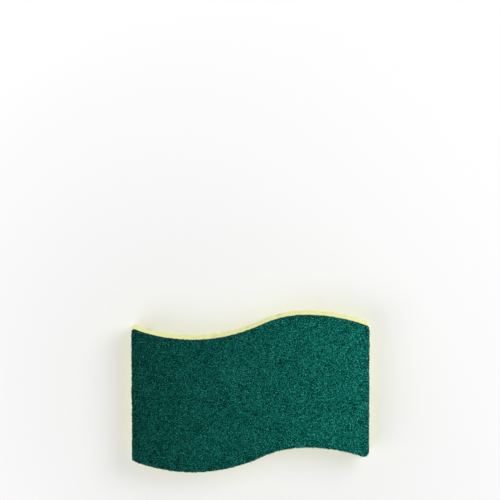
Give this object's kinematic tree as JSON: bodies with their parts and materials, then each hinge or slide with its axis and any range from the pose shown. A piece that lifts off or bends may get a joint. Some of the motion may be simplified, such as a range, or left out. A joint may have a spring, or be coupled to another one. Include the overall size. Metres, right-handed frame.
{
  "type": "cleaning sponge",
  "caption": "Wave-cut cleaning sponge: a porous yellow foam body with a dark green fibre scouring pad bonded over one face, lying foam side down.",
  "frame": {"origin": "middle of the foam's underside, at the centre of the outline's box", "axes": "+X along the length, towards the end with the rounder corners; +Y across it; +Z from the foam up to the scouring pad"},
  "size_m": [0.1142, 0.077, 0.0152],
  "materials": {
    "foam": "matt open-celled foam",
    "scouring_fibre": "coarse non-woven fibre bonded with abrasive resin"
  },
  "bodies": {
    "root": {"foam_body": "foam", "scouring_pad": "scouring_fibre"}
  },
  "joints": []
}
